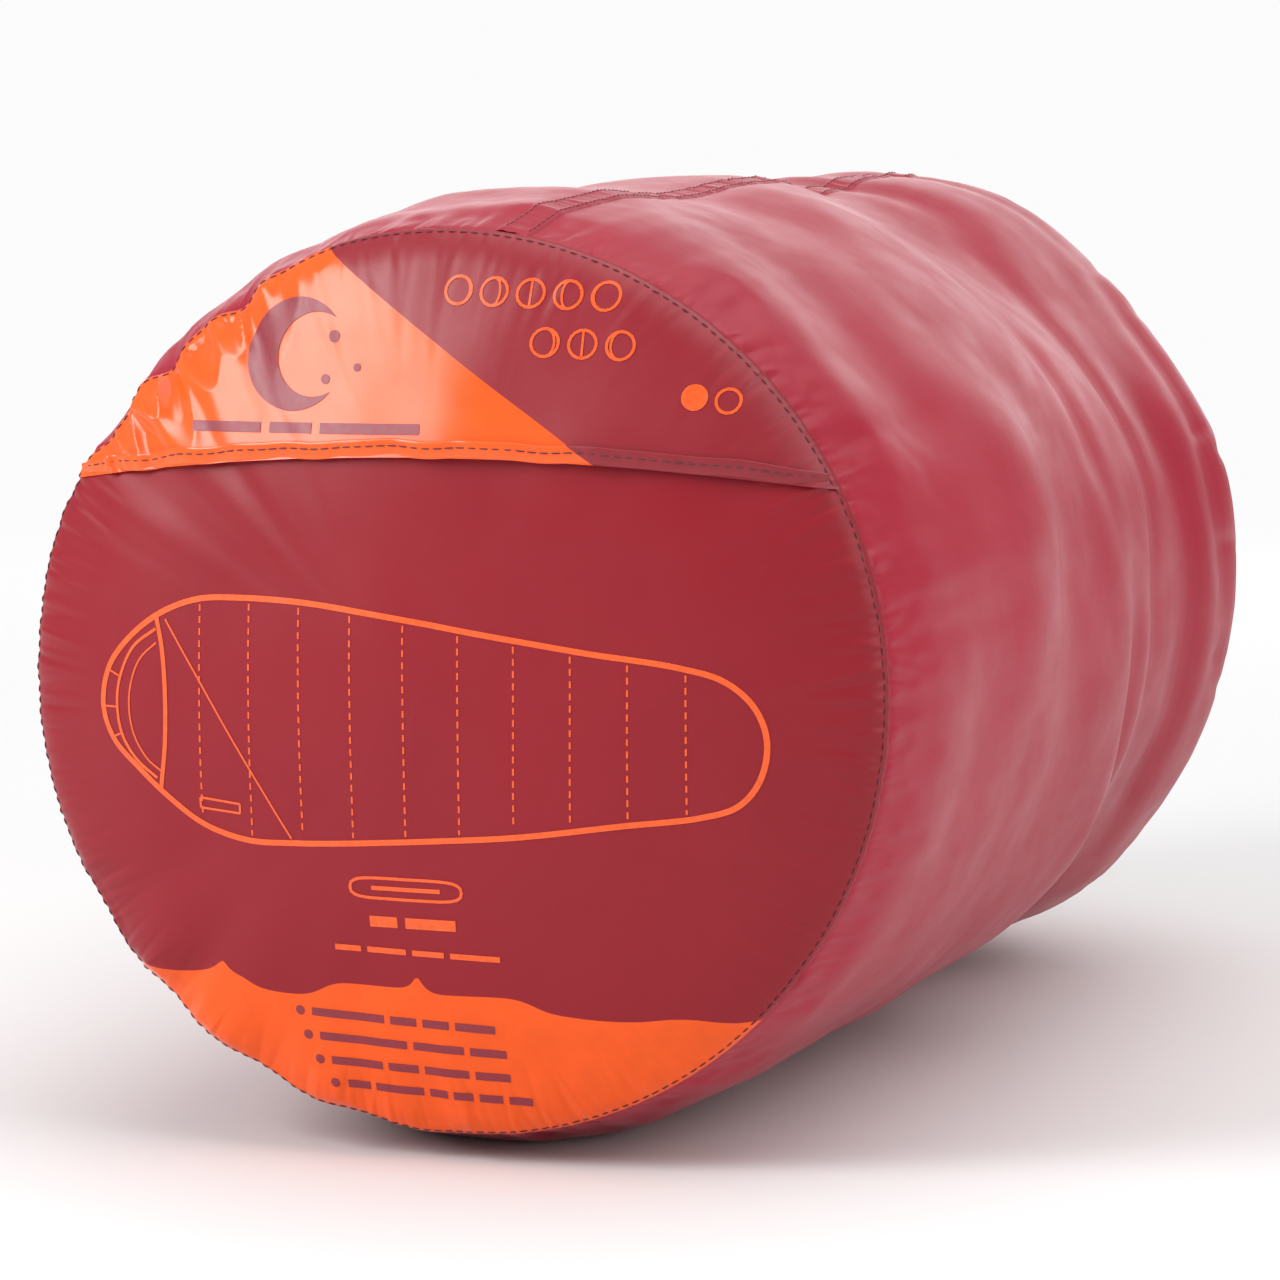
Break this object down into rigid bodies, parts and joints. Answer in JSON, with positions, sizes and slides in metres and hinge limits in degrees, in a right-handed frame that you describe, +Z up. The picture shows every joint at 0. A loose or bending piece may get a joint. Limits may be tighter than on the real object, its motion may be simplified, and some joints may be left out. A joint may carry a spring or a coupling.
{
  "type": "packed sleeping bag in stuff sack",
  "caption": "Insulated mummy sleeping bag packed in a round drawcord stuff sack, lying on its side, with a grab flap on the base and a sprung cord lock.",
  "frame": {"origin": "on the floor, under the middle of the sack's whole length and width", "axes": "+Z up; +Y along the sack from its round base to its gathered mouth; +X to the right of someone facing the base"},
  "size_m": [0.2472, 0.4626, 0.2444],
  "materials": {
    "sack_base": "satin",
    "sack_wall": "satin",
    "sack_seam": "satin",
    "flap": "satin",
    "cord": "matte",
    "lock_plastic": "satin",
    "steel": "satin",
    "bag_shell": "satin",
    "bag_liner": "matte",
    "down": "matte",
    "zip_tape": "matte",
    "print": "gloss"
  },
  "bodies": {
    "sack": {"base_panel": "sack_base", "base_seam": "sack_seam", "side_wall": "sack_wall", "side_seam": "sack_seam", "grab_flap": "flap", "flap_hem": "flap", "mouth_channel": "sack_wall", "channel_eyelet": "steel", "drawcord": "cord", "drawcord_knot": "cord", "bag_shell": "bag_shell", "bag_liner": "bag_liner", "foot_fill": "down", "hood_fill": "down", "down_chamber_01": "down", "down_chamber_02": "down", "down_chamber_03": "down", "down_chamber_04": "down", "down_chamber_05": "down", "down_chamber_06": "down", "down_chamber_07": "down", "down_chamber_08": "down", "down_chamber_09": "down", "down_chamber_10": "down", "baffle_wall_01": "bag_shell", "baffle_wall_02": "bag_shell", "baffle_wall_03": "bag_shell", "baffle_wall_04": "bag_shell", "baffle_wall_05": "bag_shell", "baffle_wall_06": "bag_shell", "baffle_wall_07": "bag_shell", "baffle_wall_08": "bag_shell", "baffle_wall_09": "bag_shell", "zip_tape_upper": "zip_tape", "zip_tape_lower": "zip_tape", "zip_coil": "zip_tape", "zip_slider": "steel", "zip_pull": "steel", "draft_tube": "bag_liner", "draft_collar": "bag_liner", "hood_drawcord": "cord", "hood_cord_toggle": "lock_plastic"},
    "cord_lock": {"cord_lock_body": "lock_plastic", "cord_lock_spring": "steel"},
    "lock_button": {"cord_lock_button": "lock_plastic"}
  },
  "joints": [
    {"name": "cord_lock_slide", "type": "slide", "parent": "sack", "child": "cord_lock", "axis": [0, 0, -1], "range_m": [0, 0.01]},
    {"name": "button_press", "type": "slide", "parent": "cord_lock", "child": "lock_button", "axis": [-1, 0, 0], "range_m": [0, 0.004], "stiffness_N_per_m": 300, "springref_m": -0.004, "deforming": ["cord_lock_spring"]}
  ]
}
